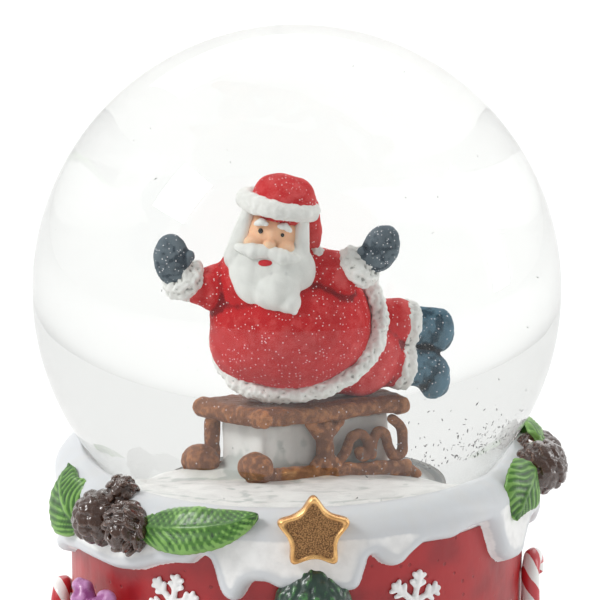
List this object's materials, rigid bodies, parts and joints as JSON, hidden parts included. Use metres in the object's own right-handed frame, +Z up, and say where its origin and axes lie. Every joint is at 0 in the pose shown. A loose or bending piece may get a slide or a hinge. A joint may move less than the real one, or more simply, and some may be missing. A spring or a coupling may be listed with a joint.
{
  "type": "snow globe",
  "caption": "Wind-up musical snow globe: liquid-filled glass ball with a painted figure on a sled, on a snow-capped red base with a key beneath.",
  "frame": {"origin": "middle of the foot, on the surface the globe stands on", "axes": "+Z up through the ball's centre, the front with the star faces -Y"},
  "size_m": [0.1003, 0.1074, 0.14],
  "materials": {
    "clear_glass": "clear, polished blown glass",
    "liquid": "clear water with a little glycol",
    "white_flakes": "thin white chips",
    "black_rubber": "moulded, ribbed",
    "snow_paint": "cast resin, painted white with fine glitter",
    "fur_white": "cast resin, stippled white with a grey wash",
    "red_glitter": "cast resin, red paint with fine glitter",
    "grey_glitter": "cast resin, slate paint with fine glitter",
    "navy_paint": "cast resin, blue-black gloss paint",
    "skin_paint": "cast resin, painted",
    "brown_paint": "cast resin, brown with dry-brushed orange edges",
    "red_paint": "cast resin, red lacquer",
    "tree_green": "cast resin, dark green with light tips",
    "leaf_green": "cast resin, green with light veins",
    "cone_brown": "cast resin, dark brown gloss paint",
    "gold_paint": "cast, grainy gold paint with bright edges",
    "teal_paint": "cast resin, painted wrapping",
    "purple_paint": "cast resin, purple ribbon paint",
    "cane_paint": "cast resin, red and white stripes",
    "black_plastic": "moulded, fine grain",
    "green_felt": "wool felt",
    "steel": "turned and tempered",
    "zinc_casting": "die-cast, as cast",
    "brass": "turned brass",
    "aluminium": "stamped"
  },
  "bodies": {
    "globe_and_base": {"glass_globe": "clear_glass", "rubber_plug": "black_rubber", "liquid_fill": "liquid", "snow_flakes": "white_flakes", "snow_mound": "snow_paint", "santa_coat": "red_glitter", "coat_trim": "fur_white", "santa_trousers": "red_glitter", "trouser_cuffs": "fur_white", "boots": "navy_paint", "sleeve_cuffs": "fur_white", "mittens": "grey_glitter", "santa_head": "skin_paint", "santa_beard": "fur_white", "santa_hat": "red_glitter", "hat_band": "fur_white", "hat_pompom": "fur_white", "sled_seat": "brown_paint", "sled_posts": "brown_paint", "near_runner": "brown_paint", "far_runner": "brown_paint", "sled_scrolls": "brown_paint", "base_shell": "red_paint", "snow_cap": "snow_paint", "foot_snow": "snow_paint", "fir_trees": "tree_green", "tree_star": "gold_paint", "tree_ornaments": "gold_paint", "gift_boxes": "teal_paint", "gift_ribbons": "purple_paint", "candy_canes": "cane_paint", "snowflake_reliefs": "snow_paint", "left_leaves": "leaf_green", "right_leaves": "leaf_green", "left_pinecones": "cone_brown", "right_pinecones": "cone_brown", "bottom_cover": "black_plastic", "cover_screws": "steel", "felt_ring": "green_felt", "bedplate": "zinc_casting", "drum_post": "zinc_casting", "governor_frame": "zinc_casting", "movement_screws": "steel", "barrel_bridge": "zinc_casting", "clutch_spring": "steel", "comb": "steel", "comb_screws": "steel"},
    "winding_stem": {"winding_arbor": "steel", "winding_key": "brass"},
    "barrel": {"spring_barrel": "brass", "crown_gear": "brass", "mainspring": "steel"},
    "drum": {"music_drum": "brass", "drum_pins": "brass", "drum_arbor": "steel", "drum_wheel": "brass"},
    "idler": {"idler_gear": "brass"},
    "fly": {"fly_arbor": "steel", "fly_blades": "aluminium"}
  },
  "joints": [
    {"name": "key_wind", "type": "hinge", "parent": "globe_and_base", "child": "winding_stem", "pos_m": [-0.007, 0, 0.0064], "axis": [0, 0, 1], "range_deg": [0, 1440]},
    {"name": "barrel_turn", "type": "hinge", "parent": "globe_and_base", "child": "barrel", "pos_m": [-0.007, 0, 0.024], "axis": [0, 0, 1], "continuous": true},
    {"name": "drum_turn", "type": "hinge", "parent": "globe_and_base", "child": "drum", "pos_m": [0.013, 0, 0.03252], "axis": [1, 0, 0], "continuous": true},
    {"name": "idler_turn", "type": "hinge", "parent": "globe_and_base", "child": "idler", "pos_m": [0.021, 0.00921, 0.02862], "axis": [1, 0, 0], "continuous": true},
    {"name": "fly_turn", "type": "hinge", "parent": "globe_and_base", "child": "fly", "pos_m": [0.021, 0.01614, 0.03262], "axis": [1, 0, 0], "continuous": true}
  ],
  "couplings": [
    {"joint": "drum_turn", "follows": "barrel_turn", "ratio": 4},
    {"joint": "idler_turn", "follows": "barrel_turn", "ratio": -16},
    {"joint": "fly_turn", "follows": "barrel_turn", "ratio": 64}
  ]
}
